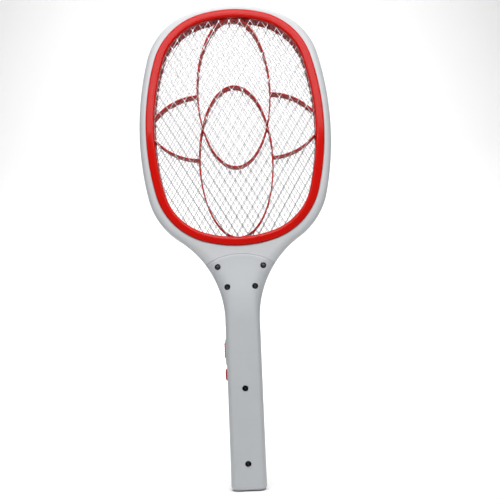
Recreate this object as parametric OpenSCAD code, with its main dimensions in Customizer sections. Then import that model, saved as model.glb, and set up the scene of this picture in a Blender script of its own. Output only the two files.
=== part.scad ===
// Rechargeable electric fly swatter: a racket head with three nets, and a two-part grip.
// Origin: the centre of the grip's bottom end. +Z runs up the grip to the head, -Y is the rear
// side with the screws, +X is to the right seen from the rear. All sizes are in millimetres.

/* [Whole object] */
// Length from the grip's bottom end to the top of the hoop
total_l = 495.5; // [490:0.5:500]
// Width of the grip
grip_w = 35.2; // [34:0.1:37]
// Thickness of the grip
grip_t = 29; // [28:0.5:31]
// Wall thickness of the mouldings
wall = 2; // [1.8:0.1:2.2]

/* [Hoop] */
// Thickness of the hoop
hoop_t = 18; // [17:0.5:19]
// Radius of the hoop's top arc
hoop_top_r = 135; // [133:0.5:137]
// Radius of the hoop's upper corner arcs
hoop_corner_r = 67.5; // [67:0.5:68]
// Radius of the hoop's side arcs
hoop_side_r = 314; // [310:1:318]
// Radius of the hoop's lower corner arcs
hoop_lower_r = 75; // [74:0.5:76]

/* [Rings] */
// Gap from the top of the hoop to the top of the rings
ring_gap = 6.5; // [6:0.5:7]
// Width of the ring band
ring_w = 8.8; // [8:0.1:9.5]
// How far the ring stands proud of the hoop
ring_proud = 2.6; // [2:0.1:3]
// Radius of the rings' top and bottom arcs
ring_end_r = 122; // [121:0.5:123]
// Radius of the rings' corner arcs
ring_corner_r = 69.5; // [69:0.5:70]
// Radius of the rings' side arcs
ring_side_r = 265.5; // [264:0.5:267]

/* [Nets and ribs] */
// Distance from the centre net to each outer net
net_gap = 7.3; // [7:0.1:7.5]
// Thickness of a net
net_t = 0.5; // [0.4:0.1:0.7]
// Width of a net's strand
strand_w = 0.7; // [0.6:0.1:1]
// Width of a diamond in a net
diamond_w = 10.9; // [10:0.1:12]
// Height of a diamond in a net
diamond_h = 18.7; // [18:0.1:20]
// Width of a rib
rib_w = 1.5; // [1.3:0.1:2]
// Half width of the upright ovals
oval_a = 37.6; // [36:0.2:39]
// Half height of the upright ovals
oval_b = 79; // [78:0.5:80]
// Distance between the centres of the two ovals
oval_shift = 73; // [70:0.5:75]
// Radius of the side petals
petal_r = 60.5; // [58:0.5:63]

/* [Rear cover] */
// Height of the top of the cover's arched edge
arch_top = 232.8; // [230:0.2:234]
// Radius of the arched edge
arch_r = 65; // [62:0.5:68]
// Diameter of the screw recesses
recess_d = 6; // [5.8:0.1:6.4]

/* [Controls] */
// Travel of the slide switch
slide_travel = 4; // [3:0.5:4]
// Travel of the push button
push_travel = 1.5; // [1:0.1:1.8]
// Travel of the charging plug
plug_travel = 16; // [14:0.5:16]

/* [Hidden] */

$fn = 48;
arc_step = 5;
fit = 0.3;
eps = 0.1;
far = 120;

// Outlines are chains of arcs that meet smoothly. A chain starts at [0, top] heading along +X and
// turns clockwise. Each arc is [radius, turn in degrees], and both are negative where it turns back.
function heading(arcs, i) = i == 0 ? 0 : heading(arcs, i - 1) + arcs[i - 1][1];
function outward(h) = [sin(h), cos(h)];
function arc_start(arcs, top, i) =
    i == 0 ? [0, top]
    : arc_centre(arcs, top, i - 1) + arcs[i - 1][0] * outward(heading(arcs, i));
function arc_centre(arcs, top, i) =
    arc_start(arcs, top, i) - arcs[i][0] * outward(heading(arcs, i));
function arc_points(arcs, top, i, grow) =
    let (h = heading(arcs, i), n = ceil(abs(arcs[i][1]) / arc_step),
         c = arc_centre(arcs, top, i))
    [for (k = [0 : n]) c + (arcs[i][0] + grow) * outward(h + arcs[i][1] * k / n)];
function chain_points(arcs, top, grow, first = 0) =
    [for (i = [first : len(arcs) - 1]) for (k = [i == first ? 0 : 1 : 1 : 99])
        let (p = arc_points(arcs, top, i, grow)) if (k < len(p)) p[k]];
function mirrored(half) =
    concat(half, [for (k = [len(half) - 1 : -1 : 0])
        if (abs(half[k].x) > 0.001) [-half[k].x, half[k].y]]);

// The hoop's outline: its last arc turns back into the straight side of the grip
hoop_turns = [20.3, 55, 27.1, 43.1];
hoop_r = [hoop_top_r, hoop_corner_r, hoop_side_r, hoop_lower_r];
hoop_head = [for (i = [0 : 3]) [hoop_r[i], hoop_turns[i]]];
neck_from = arc_centre(hoop_head, total_l, 3) + hoop_lower_r * outward(heading(hoop_head, 4));
neck_h = heading(hoop_head, 4);
neck_r = (neck_from.x - grip_w / 2) / (1 - sin(neck_h));
hoop_arcs = concat(hoop_head, [[-neck_r, 90 - neck_h]]);
end_round = 3.5;

// The rings' outline: its last arc ends on the centre line
ring_top = total_l - ring_gap;
ring_turns = [15.7, 58.1, 30.9, 58.5];
ring_four = [for (i = [0 : 3])
    [[ring_end_r, ring_corner_r, ring_side_r, ring_corner_r][i], ring_turns[i]]];
ring_low_h = heading(ring_four, 4);
ring_low_from = arc_centre(ring_four, ring_top, 3) + ring_corner_r * outward(ring_low_h);
ring_arcs = concat(ring_four, [[ring_low_from.x / sin(ring_low_h), 180 - ring_low_h]]);
ring_bottom = arc_centre(ring_arcs, ring_top, 4).y - ring_arcs[4][0];
head_z = (ring_top + ring_bottom) / 2;

// Depths, measured from the centre net towards either side
ring_face = hoop_t / 2 + ring_proud;
ring_seat = net_gap + net_t / 2 + 0.05;
frame_out = net_gap - net_t / 2 - 0.05;
frame_in = net_t / 2 + 0.05;
ledge_t = frame_out;
ledge_w = 3;
band_w = ring_w - ledge_w - fit - 0.5;
net_edge = ring_w - 2.5;
net_shift = -1.8;
petal_x = oval_a - 1.6;
petal_cut = oval_a - 0.5;
petal_top = 33.6;
ring_clear = 0.15;

// The neck grows thinner from the grip to the hoop
taper_from = 165;
taper_to = 240;

// Screws: the head sits on a seat in the cover, and the shank goes into a boss of the shell
screw_xz = [[-23.1, 219.9], [23.1, 219.9], [-14.1, 199.3], [14.1, 199.3], [0, 98.3], [0, 25.2]];
seat_y = -6;
seat_t = 2;
boss_r = 3.3;
shank_r = 1.4;
shank_l = 11;
screw_head_r = 2.7;
screw_head_t = 2;

// Controls on the grip's left edge
knob_z = [128, 145];
knob_y = 3.8;
knob_proud = 2;
bezel_proud = 0.8;
bezel_y = 5.8;
bezel_z = [knob_z[0] - slide_travel - fit - 3, knob_z[1] + 3.5];
button_z = [106.2, 118.2];
button_y = 4;
button_proud = 1.8;
inner_x = grip_w / 2 - wall;
plate_y = 6;
plate_z = [knob_z[0] - slide_travel - fit - 0.8, knob_z[1] + slide_travel + fit + 0.8];
tongue_z = [134, 138];
flange_y = 5.4;
flange_t = 1.2;
push_switch_x = -10;

// Circuit board, standing in the grip with its parts towards the rear
board_x = [-12.5, 13.5];
board_y = [5, 6.6];
board_z = [104, 180];

// Charging plug
blade_x = 6.35;
blade_t = 1.5;
blade_half_w = 3.175;
arm_x = [4.6, 9.2];
arm_z = [20, 46];
bridge_z = [46, 52];
carriage_y = 5;
stem_z = [47, 52];

// Battery: two short cells side by side
cell_r = 7.05;
cell_z = [59, 87];

module upright(y0, y1) {
    translate([0, y1, 0]) rotate([90, 0, 0]) linear_extrude(y1 - y0) children();
}

// Outline of the moulding, grown by grow, from the arc numbered first down to the grip's end
function outline(grow, first = 0) =
    let (half = chain_points(hoop_arcs, total_l, grow, first),
         x = grip_w / 2 + grow, r = end_round + grow)
    mirrored(concat(half,
        [for (a = [0 : 30 : 90]) [x - r + r * cos(a), -grow + r - r * sin(a)]]));
function neck_outline(grow) = outline(grow, len(hoop_arcs) - 1);

function ring_outline(grow) = mirrored(chain_points(ring_arcs, ring_top, grow));

// Side view of the whole body: thick grip, tapering neck, thin hoop
module side_profile(shrink) {
    t = grip_t / 2 - shrink;
    h = hoop_t / 2 - shrink;
    rotate([90, 0, 90]) linear_extrude(2 * far, center = true) polygon([
        [-t, -1], [t, -1], [t, taper_from], [h, taper_to],
        [h, total_l + 1], [-h, total_l + 1], [-h, taper_to], [-t, taper_from]
    ]);
}

// Everything below the arched edge, drawn back by gap
module under_arch(y0, y1, gap) {
    upright(y0, y1) union() {
        translate([0, arch_top - arch_r]) circle(r = arch_r - gap, $fn = 96);
        translate([-arch_r + gap, -10]) square([2 * (arch_r - gap), arch_top - arch_r + 10]);
    }
}

// The space inside neck and grip
module cavity(y0, y1) {
    intersection() {
        upright(y0, y1) polygon(neck_outline(-wall));
        side_profile(wall);
        under_arch(y0, y1, wall);
    }
}

// A prism along X with round ends above and below
module obround_x(half_y, z, h) {
    for (mid = [z[0] + half_y, z[1] - half_y])
        translate([0, 0, mid]) rotate([0, 90, 0]) cylinder(r = half_y, h = h);
    translate([0, -half_y, z[0] + half_y]) cube([h, 2 * half_y, z[1] - z[0] - 2 * half_y]);
}

// Openings that the shell and the cover share, half in each
module shared_openings() {
    translate([-grip_w / 2 - 1, -knob_y - fit, knob_z[0] - slide_travel - fit])
        cube([wall + 2, 2 * (knob_y + fit), knob_z[1] - knob_z[0] + slide_travel + 2 * fit]);
    translate([-grip_w / 2 - 1, 0, 0])
        obround_x(button_y + fit, [button_z[0] - fit, button_z[1] + fit], wall + 2);
    for (s = [-1, 1])
        translate([s * blade_x - blade_t / 2 - fit, -blade_half_w - fit, -1])
            cube([blade_t + 2 * fit, 2 * (blade_half_w + fit), wall + 2]);
}

// Low raised rim round the slide knob's slot
module knob_bezel() {
    x = -grip_w / 2;
    upright(-bezel_y, bezel_y) polygon([
        [x + wall / 2, bezel_z[0]], [x, bezel_z[0]], [x - bezel_proud, bezel_z[0] + 1.5],
        [x - bezel_proud, bezel_z[1] - 1.5], [x, bezel_z[1]], [x + wall / 2, bezel_z[1]]
    ]);
}

module screw_axis() {
    for (p = screw_xz) translate([p[0], 0, p[1]]) rotate([-90, 0, 0]) children();
}

module body_shell() {
    color([0.75, 0.77, 0.79]) difference() {
        union() {
            difference() {
                union() {
                    intersection() {
                        upright(-far / 2, far / 2) polygon(outline(0));
                        side_profile(0);
                    }
                    knob_bezel();
                }
                under_arch(-far / 2, 0, 0);
                cavity(-1, far / 2);
                upright(ledge_t, far / 2) polygon(ring_outline(ring_clear));
                upright(-far / 2, -ledge_t) polygon(ring_outline(ring_clear));
                upright(-far / 2, far / 2) polygon(ring_outline(-ledge_w));
            }
            intersection() {
                screw_axis() translate([0, 0, seat_y + seat_t]) cylinder(r = boss_r, h = far / 2);
                side_profile(wall / 2);
            }
        }
        screw_axis() translate([0, 0, seat_y]) cylinder(r = shank_r + 0.05, h = shank_l + 1);
        shared_openings();
        // slot for the plug's thumb slider
        translate([-3 - fit, 0, stem_z[0] - plug_travel - fit])
            cube([6 + 2 * fit, grip_t, stem_z[1] - stem_z[0] + plug_travel + 2 * fit]);
        // hole for the charge light
        translate([0, 8, 165]) rotate([-90, 0, 0]) cylinder(r = 1.6, h = 10);
        // passage for the net leads
        translate([0, 3, 215]) cylinder(r = 2.2, h = 40);
    }
}

module rear_cover() {
    color([0.72, 0.74, 0.76]) difference() {
        union() {
            difference() {
                intersection() {
                    union() {
                        intersection() {
                            upright(-far / 2, 0) polygon(neck_outline(0));
                            side_profile(0);
                        }
                        knob_bezel();
                    }
                    under_arch(-far / 2, 0, ring_clear);
                }
                cavity(-far / 2, 1);
            }
            intersection() {
                screw_axis() translate([0, 0, -far / 2])
                    cylinder(r = recess_d / 2 + 1.2, h = far / 2 + seat_y + seat_t);
                side_profile(wall / 2);
            }
        }
        screw_axis() translate([0, 0, -far / 2]) cylinder(r = recess_d / 2, h = far / 2 + seat_y);
        screw_axis() translate([0, 0, -far / 2]) cylinder(r = shank_r + 0.2, h = far);
        shared_openings();
    }
}

module cover_screws() {
    color([0.2, 0.2, 0.22]) screw_axis() difference() {
        union() {
            translate([0, 0, seat_y]) cylinder(r = shank_r, h = shank_l);
            translate([0, 0, seat_y - screw_head_t]) cylinder(r = screw_head_r, h = screw_head_t);
        }
        for (a = [0, 90]) rotate(a)
            translate([-1.6, -0.4, seat_y - screw_head_t - eps]) cube([3.2, 0.8, 1.1 + eps]);
    }
}

// A solid ring of one cross-section. The section is a list of [distance from the rings' outline,
// depth], in order, and the ring lies flat with its depth along +Z.
module swept_ring(section) {
    loops = [for (p = section) [for (q = ring_outline(p[0])) [q.x, q.y, p[1]]]];
    n = len(loops[0]);
    m = len(section);
    polyhedron([for (l = loops) for (q = l) q],
        [for (j = [0 : m - 1], i = [0 : n - 1])
            let (a = j * n + i, b = j * n + (i + 1) % n, c = (j + 1) % m * n)
            for (f = [[a, c + i, b], [b, c + i, c + (i + 1) % n]]) f]);
}

// One clamping ring, with a rounded face. side is -1 for the rear one and 1 for the front one.
module clamping_ring(side) {
    r = 2;
    d = ring_face - ring_seat;
    section = concat(
        [[0, 0], [-ring_w, 0]],
        [for (a = [180 : -30 : 90]) [-ring_w + r + r * cos(a), d - r + r * sin(a)]],
        [for (a = [90 : -30 : 0]) [-r + r * cos(a), d - r + r * sin(a)]]);
    mirror([0, side > 0 ? 1 : 0, 0]) translate([0, -ring_seat, 0]) rotate([90, 0, 0])
        swept_ring(section);
}

module rear_ring() { color([0.8, 0.07, 0.05]) clamping_ring(-1); }
module front_ring() { color([0.8, 0.07, 0.05]) clamping_ring(1); }

function oval(a, b, z) = [for (t = [0 : 6 : 354]) [a * cos(t), z + b * sin(t)]];

module rib_pattern() {
    w = rib_w / 2;
    for (s = [-1, 1]) difference() {
        polygon(oval(oval_a + w, oval_b + w, head_z + s * oval_shift / 2));
        polygon(oval(oval_a - w, oval_b - w, head_z + s * oval_shift / 2));
    }
    for (s = [-1, 1], m = [-1, 1]) intersection() {
        translate([m * petal_x, head_z + s * (petal_top - petal_r)]) difference() {
            circle(r = petal_r + w, $fn = 96);
            circle(r = petal_r - w, $fn = 96);
        }
        translate([m < 0 ? -petal_cut - far : petal_cut, head_z + (s > 0 ? 0 : -far)])
            square(far);
    }
}

// One rib frame: a band inside the hoop's ledge, with the ribs across it
module rib_frame(side) {
    y = side < 0 ? [-frame_out, -frame_in] : [frame_in, frame_out];
    upright(y[0], y[1]) offset(delta = 0.001) union() {
        difference() {
            polygon(ring_outline(-ledge_w - fit));
            polygon(ring_outline(-ledge_w - fit - band_w));
        }
        intersection() {
            rib_pattern();
            polygon(ring_outline(-ledge_w - fit - 1));
        }
    }
}

module rear_rib_frame() { color([0.72, 0.1, 0.08]) rib_frame(-1); }
module front_rib_frame() { color([0.72, 0.1, 0.08]) rib_frame(1); }

// One net of expanded metal: crossing strands, drawn thin and grown to their width
module net(y, shift, edge) {
    core = 0.1;
    slope = atan2(diamond_h, diamond_w);
    n = ceil(far * 2 / diamond_w);
    upright(y - net_t / 2, y + net_t / 2) offset(delta = (strand_w - core) / 2) intersection() {
        polygon(ring_outline(-edge));
        union() for (s = [-1, 1], k = [-n : n])
            translate([shift + k * diamond_w, head_z]) rotate(s * slope)
                square([3 * far, core], center = true);
    }
}

module rear_net() { color([0.75, 0.76, 0.78]) net(-net_gap, net_shift, net_edge); }
module centre_net() { color([0.7, 0.71, 0.73]) net(0, net_shift + diamond_w / 2, ledge_w + 1); }
module front_net() { color([0.75, 0.76, 0.78]) net(net_gap, net_shift, net_edge); }

module slide_knob() {
    x = -grip_w / 2 - knob_proud;
    color([0.62, 0.1, 0.14]) {
        difference() {
            translate([x, -knob_y, knob_z[0]])
                cube([knob_proud + wall + fit + 0.4, 2 * knob_y, knob_z[1] - knob_z[0]]);
            for (k = [0 : 5]) translate([x - eps, -knob_y - eps, knob_z[0] + 1.8 + k * 2.4])
                cube([0.5 + eps, 2 * knob_y + 2 * eps, 1]);
        }
        // plate that covers the slot from inside, and the tongue that drives the switch
        translate([-inner_x + fit, -plate_y, plate_z[0]])
            cube([0.8, 2 * plate_y, plate_z[1] - plate_z[0]]);
        translate([-inner_x + fit + 0.7, -1.5, tongue_z[0]])
            cube([5.6, 3, tongue_z[1] - tongue_z[0]]);
    }
}

module push_button() {
    x = -grip_w / 2 - button_proud;
    shoulder = 1;
    mid_z = (button_z[0] + button_z[1]) / 2;
    color([0.62, 0.1, 0.14]) {
        translate([x + shoulder, 0, 0])
            obround_x(button_y, button_z, button_proud - shoulder + wall + fit + 0.5);
        // the crown of the cap, the flange that holds it in, and the stem for the switch
        translate([x, 0, mid_z]) rotate([0, 90, 0])
            cylinder(r1 = 1.5, r2 = button_y - 0.2, h = shoulder + 0.05);
        translate([-inner_x + fit, -flange_y, button_z[0]])
            cube([flange_t, 2 * flange_y, button_z[1] - button_z[0]]);
        translate([-inner_x + fit + flange_t - eps, 0, mid_z]) rotate([0, 90, 0])
            cylinder(r = 1.3, h = 4.1);
    }
}

// A round wire of eight sides along a list of points
function cross_frame(d) = let (u = abs(d.z) < 0.9 ? [0, 0, 1] : [1, 0, 0], s = cross(d, u))
    [s / norm(s), cross(s / norm(s), d)];
module wire(pts, r, sides = 8) {
    n = len(pts);
    dirs = [for (i = [0 : n - 1])
        let (d = pts[min(i + 1, n - 1)] - pts[max(i - 1, 0)]) d / norm(d)];
    ring = [for (i = [0 : n - 1]) let (f = cross_frame(dirs[i])) for (k = [0 : sides - 1])
        pts[i] + r * (f[0] * cos(360 * k / sides) + f[1] * sin(360 * k / sides))];
    polyhedron(ring, concat(
        [[for (k = [sides - 1 : -1 : 0]) k]],
        [[for (k = [0 : sides - 1]) (n - 1) * sides + k]],
        [for (i = [0 : n - 2], k = [0 : sides - 1])
            let (a = i * sides + k, b = i * sides + (k + 1) % sides)
            for (f = [[a, b + sides, a + sides], [a, b, b + sides]]) f]));
}

module push_spring() {
    turns = 4;
    steps = 12;
    r = 2.1;
    from = -inner_x + fit + flange_t + 0.3;
    to = push_switch_x - 0.3;
    mid_z = (button_z[0] + button_z[1]) / 2;
    color([0.8, 0.8, 0.82]) wire(
        [for (k = [0 : turns * steps])
            [from + (to - from) * k / (turns * steps),
             r * cos(360 * k / steps), mid_z + r * sin(360 * k / steps)]], 0.22, 6);
}

module slide_switch() {
    color([0.8, 0.8, 0.8]) difference() {
        translate([-10.6, -4, 124]) cube([6, board_y[0] + 4, 24]);
        translate([-11, -1.8, tongue_z[0] - slide_travel - 1])
            cube([3, 3.6, tongue_z[1] - tongue_z[0] + slide_travel + 2]);
    }
}

module push_switch() {
    color([0.15, 0.15, 0.16]) difference() {
        translate([push_switch_x, -3.5, 107]) cube([5, board_y[0] + 3.5, 10.4]);
        translate([push_switch_x - 0.5, 0, (button_z[0] + button_z[1]) / 2])
            rotate([0, 90, 0]) cylinder(r = 1.6, h = 3.6);
    }
}

module circuit_board() {
    color([0.1, 0.4, 0.2]) difference() {
        translate([board_x[0], board_y[0], board_z[0]])
            cube([board_x[1] - board_x[0], board_y[1] - board_y[0], board_z[1] - board_z[0]]);
        for (z = [107, 177]) translate([11, 4, z]) rotate([-90, 0, 0]) cylinder(r = 1.2, h = 4);
    }
}

// Ferrite core of two E halves around the bobbin
core_c = [7, -1.5, 141];
module transformer_core() {
    color([0.18, 0.18, 0.2]) translate(core_c) difference() {
        cube([13, 6, 13], center = true);
        for (s = [-1, 1]) translate([s * 3.9, 0, 0]) cube([2.6, 7, 9], center = true);
    }
}
module transformer_bobbin() {
    color([0.12, 0.12, 0.13]) translate(core_c) difference() {
        union() {
            for (s = [-1, 1]) translate([0, 0, s * 4]) cube([7.4 + 2.4, 13, 0.8], center = true);
            cube([6.6, 7.6, 8.6], center = true);
        }
        cube([5.3, 6.1, 10], center = true);
    }
}
module transformer_winding() {
    color([0.75, 0.4, 0.15]) translate(core_c) difference() {
        cube([9.8, 12.4, 7.0], center = true);
        cube([6.7, 7.7, 8], center = true);
        for (s = [-1, 1]) translate([s * (5.25 + 1), 0, 0]) cube([2.2, 6.2, 9], center = true);
    }
}

module soft_box(size, r) {
    // a box with rounded upright edges, standing on the board towards the rear
    translate([0, board_y[0] - size.y, 0]) rotate([-90, 0, 0]) linear_extrude(size.y) union() {
        square([size.x - 2 * r, size.z], center = true);
        square([size.x, size.z - 2 * r], center = true);
        for (i = [-1, 1], j = [-1, 1])
            translate([i * (size.x / 2 - r), j * (size.z / 2 - r)]) circle(r = r);
    }
}

module high_voltage_capacitor() {
    color([0.65, 0.2, 0.1]) translate([1, 0, 161]) soft_box([21, 13, 17], 2);
}
module charging_capacitor() {
    color([0.75, 0.35, 0.1]) translate([5.5, 0, 112]) soft_box([13, 10, 6], 1.5);
}
module multiplier_capacitors() {
    color([0.15, 0.3, 0.6]) for (x = [-9.5, -2, 5.5]) translate([x, 1.2, 174])
        rotate([0, 90, 0]) cylinder(r = 3.6, h = 2.2);
}
module multiplier_diodes() {
    for (k = [0 : 3]) translate([2 + 3.4 * k, board_y[0] - 1.4, 125]) {
        color([0.15, 0.15, 0.16]) translate([0, 0, -2.6]) cylinder(r = 1.35, h = 5.2);
        color([0.8, 0.8, 0.8]) for (z = [-4.6, 2.6]) translate([0, 0, z]) cylinder(r = 0.35, h = 2);
    }
}
module resistors() {
    for (p = [[-3.6, 112], [-1, 127], [-2.4, 146.5]]) translate([p[0], board_y[0] - 1.2, p[1]]) {
        color([0.8, 0.7, 0.5]) translate([0, 0, -3]) cylinder(r = 1.1, h = 6);
        color([0.8, 0.8, 0.8]) for (z = [-5, 3]) translate([0, 0, z]) cylinder(r = 0.3, h = 2);
    }
}
module transistor() {
    color([0.12, 0.12, 0.12]) translate([-2.2, board_y[0] - 5.6, 138]) difference() {
        rotate([-90, 0, 0]) cylinder(r = 2.3, h = 4.6);
        translate([-3, -1, 1.4]) cube([6, 7, 3]);
    }
    color([0.8, 0.8, 0.8]) for (z = [-1.2, 0, 1.2])
        translate([-2.2, board_y[0] - 1, 138 + z - 0.2]) rotate([-90, 0, 0])
            cylinder(r = 0.25, h = 1);
}
module charge_light() {
    color([0.9, 0.15, 0.1]) translate([0, board_y[1], 165]) rotate([-90, 0, 0]) {
        cylinder(r = 1.9, h = 1);
        translate([0, 0, 1]) cylinder(r = 1.5, h = 5.6);
        translate([0, 0, 6.6]) intersection() {
            sphere(r = 1.5);
            translate([-2, -2, 0]) cube(4);
        }
    }
}

module battery_cells() {
    for (s = [-1, 1]) translate([s * (cell_r + 0.1), 0, cell_z[0]]) {
        color([0.1, 0.5, 0.3]) cylinder(r = cell_r, h = cell_z[1] - cell_z[0] - 1);
        color([0.8, 0.8, 0.8]) translate([0, 0, cell_z[1] - cell_z[0] - 1]) cylinder(r = 3, h = 1);
    }
}
module battery_tabs() {
    color([0.8, 0.8, 0.78]) {
        translate([-11, -2.5, cell_z[0] - 0.35]) cube([22, 5, 0.3]);
        for (s = [-1, 1]) translate([s * 8 - 3, -2, cell_z[1] + 0.05]) cube([6, 4, 0.3]);
    }
}
module battery_leads() {
    for (s = [-1, 1]) color(s < 0 ? "black" : "red") wire([
        [s * 8, 0, 87.5], [s * 8.2, 0.4, 89], [s * 9, 1.5, 91.5], [s * 9.6, 3, 95],
        [s * 9.8, 3.8, 99], [s * 9.8, 4, 103], [s * 9.8, 3.9, 105.5]], 0.65);
}
module centre_net_lead() {
    color("red") wire([
        [1, 4.1, 178], [1, 3.6, 184], [0.8, 3.2, 195], [0.6, 3, 206], [0.4, 3, 218], [0.4, 2.9, 230],
        [0.4, 2.8, 240], [0.3, 2.4, 243.6]], 0.6);
}
module outer_net_lead() {
    color("black") wire([
        [-1.2, 4.1, 178], [-1.2, 3.8, 184], [-1.1, 3.4, 195], [-1, 3.2, 206], [-1, 3.4, 218],
        [-1, 3.4, 230], [-1, 3.4, 240], [-1, 3.6, 243.6]], 0.6);
}

module plug_carriage() {
    color([0.15, 0.15, 0.16]) difference() {
        union() {
            for (s = [-1, 1]) translate([s > 0 ? arm_x[0] : -arm_x[1], -carriage_y, arm_z[0]])
                cube([arm_x[1] - arm_x[0], 2 * carriage_y, arm_z[1] - arm_z[0] + 1]);
            translate([-arm_x[1], -carriage_y, bridge_z[0]])
                cube([2 * arm_x[1], 2 * carriage_y, bridge_z[1] - bridge_z[0]]);
        }
        for (s = [-1, 1]) translate([s * blade_x - blade_t / 2, -blade_half_w, arm_z[0] - 1])
            cube([blade_t, 2 * blade_half_w, 11]);
    }
}
module plug_blades() {
    color([0.82, 0.8, 0.72]) for (s = [-1, 1]) difference() {
        translate([s * blade_x - blade_t / 2, -blade_half_w, 3])
            cube([blade_t, 2 * blade_half_w, arm_z[0] + 10 - 3]);
        translate([s * blade_x - 2, 0, 7]) rotate([0, 90, 0]) cylinder(r = 1.2, h = 4);
    }
}
module plug_thumb_slider() {
    color([0.15, 0.15, 0.16]) {
        translate([-3, carriage_y, stem_z[0]])
            cube([6, grip_t / 2 - carriage_y + 0.2, stem_z[1] - stem_z[0]]);
        difference() {
            translate([-5, grip_t / 2 + 0.2, stem_z[0] - 1]) cube([10, 1.4, 7]);
            for (k = [0 : 2]) translate([-6, grip_t / 2 + 1.2, stem_z[0] + 0.4 + k * 1.8])
                cube([12, 1, 0.8]);
        }
    }
}
module plug_contacts() {
    color([0.85, 0.7, 0.3]) for (s = [-1, 1])
        translate([s > 0 ? arm_x[1] + 0.3 : -arm_x[1] - 0.7, -2, 26]) cube([0.4, 4, 28]);
}
module plug_leads() {
    for (s = [-1, 1]) color("white") wire([
        [s * 10.6, -1, 52.5], [s * 11.8, -5, 56], [s * 12.4, -8.8, 60], [s * 12.4, -9.4, 72],
        [s * 12.4, -8.8, 86], [s * 12.2, -4, 94], [s * 12, 2, 100], [s * 12, 3.9, 105]], 0.6);
}

body_shell();
rear_cover();
cover_screws();
rear_ring();
front_ring();
rear_rib_frame();
front_rib_frame();
rear_net();
centre_net();
front_net();
slide_knob();
push_button();
push_spring();
slide_switch();
push_switch();
circuit_board();
transformer_core();
transformer_bobbin();
transformer_winding();
high_voltage_capacitor();
charging_capacitor();
multiplier_capacitors();
multiplier_diodes();
resistors();
transistor();
charge_light();
battery_cells();
battery_tabs();
battery_leads();
centre_net_lead();
outer_net_lead();
plug_carriage();
plug_blades();
plug_thumb_slider();
plug_contacts();
plug_leads();
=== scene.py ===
"""Looks of the rechargeable electric fly swatter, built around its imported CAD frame.

Shapes are worked out in millimetres, in the frame's own axes: X across, Z up the grip to the
head, -Y the rear side with the screws. They are scaled to metres when a mesh is made.
"""

import math

import bmesh
import bpy
import numpy as np
from mathutils import Matrix, Vector


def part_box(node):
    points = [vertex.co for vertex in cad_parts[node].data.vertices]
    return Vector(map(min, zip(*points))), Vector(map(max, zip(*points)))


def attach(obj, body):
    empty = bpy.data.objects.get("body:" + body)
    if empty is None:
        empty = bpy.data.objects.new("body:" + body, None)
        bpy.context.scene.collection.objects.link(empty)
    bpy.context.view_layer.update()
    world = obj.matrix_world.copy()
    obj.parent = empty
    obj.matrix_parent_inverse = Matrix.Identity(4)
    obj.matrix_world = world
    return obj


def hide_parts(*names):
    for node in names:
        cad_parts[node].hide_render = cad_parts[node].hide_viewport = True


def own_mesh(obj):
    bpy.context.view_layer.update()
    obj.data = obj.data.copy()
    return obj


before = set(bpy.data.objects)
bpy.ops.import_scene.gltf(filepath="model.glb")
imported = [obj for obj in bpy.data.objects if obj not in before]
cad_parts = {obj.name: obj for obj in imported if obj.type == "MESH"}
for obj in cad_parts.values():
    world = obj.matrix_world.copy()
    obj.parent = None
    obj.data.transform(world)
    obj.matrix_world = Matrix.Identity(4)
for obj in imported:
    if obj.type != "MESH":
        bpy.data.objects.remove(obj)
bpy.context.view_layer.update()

MM = 0.001
RACKET, KNOB, BUTTON = "racket", "slide_knob", "push_button"


def box_mm(node):
    low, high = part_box(node)
    return np.array(low) / MM, np.array(high) / MM


# ---------------------------------------------------------------- driving dimensions, mm
cover_low = box_mm("rear_cover")[0]
shell_high = box_mm("body_shell")[1]
ring_low, ring_high = box_mm("rear_ring")

TOTAL_L = shell_high[2]
GRIP_T = -2 * cover_low[1]
GRIP_W = 35.2
WALL = 2.0
HOOP_T = 18.0
HOOP_ARCS = [(135, 20.3), (67.5, 55), (314, 27.1), (75, 43.1)]
RING_TOP = ring_high[2]
RING_ARCS = [(122, 15.7), (69.5, 58.1), (265.5, 30.9), (69.5, 58.5)]
RING_W = 8.8
RING_FACE = -ring_low[1]
RING_SEAT = -ring_high[1]
RING_MID = (ring_low[2] + ring_high[2]) / 2
LEDGE_W = 3.0
POCKET_Y = 7.0
POCKET_GAP = 0.15
POCKET_EDGE_DROP = 0.3
ARCH_TOP = 232.8
ARCH_R = 65.0
TAPER = (165.0, 240.0)
END_ROUND = 3.5
END_FILLET = 2.5

# Half the gap between shell and cover, the gap along the arched edge, and how far its lips roll over
SEAM = 0.12
ARCH_GAP = 0.16
COVER_ROLL = 0.16
SHELL_ROLL = 0.12

NET_GAP = 7.3
NET_T = 0.5
STRAND_W = 0.7
DIAMOND = (10.9, 18.7)
NET_SHIFT = -1.8
RIB_W = 1.5
OVAL_A, OVAL_B, OVAL_SHIFT = 37.6, 79.0, 73.0
PETAL_R, PETAL_TOP = 60.5, 33.6

SCREWS = [(-23.1, 219.9), (23.1, 219.9), (-14.1, 199.3), (14.1, 199.3), (0, 98.3), (0, 25.2)]
RECESS_R = 3.0
SEAT_Y = -6.0
JOIN_Y = SEAT_Y + 2
POST_R, BOSS_R, HOLE_R, PILOT_R = 4.2, 3.3, 1.6, 1.45


# ---------------------------------------------------------------- outlines made of arcs
def out(h):
    """The outward direction where the outline heads h degrees clockwise from +X."""
    return np.array([math.sin(math.radians(h)), math.cos(math.radians(h))])


def chain(top, arcs):
    """Arcs that meet smoothly, from (0, top) along +X, as (centre, radius, from, to)."""
    at, h, result = np.array([0.0, top]), 0.0, []
    for radius, turn in arcs:
        centre = at - radius * out(h)
        result.append((centre, radius, h, h + turn))
        h += turn
        at = centre + radius * out(h)
    return result


def arc_end(arc):
    centre, radius, _, to = arc
    return centre + radius * out(to)


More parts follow.
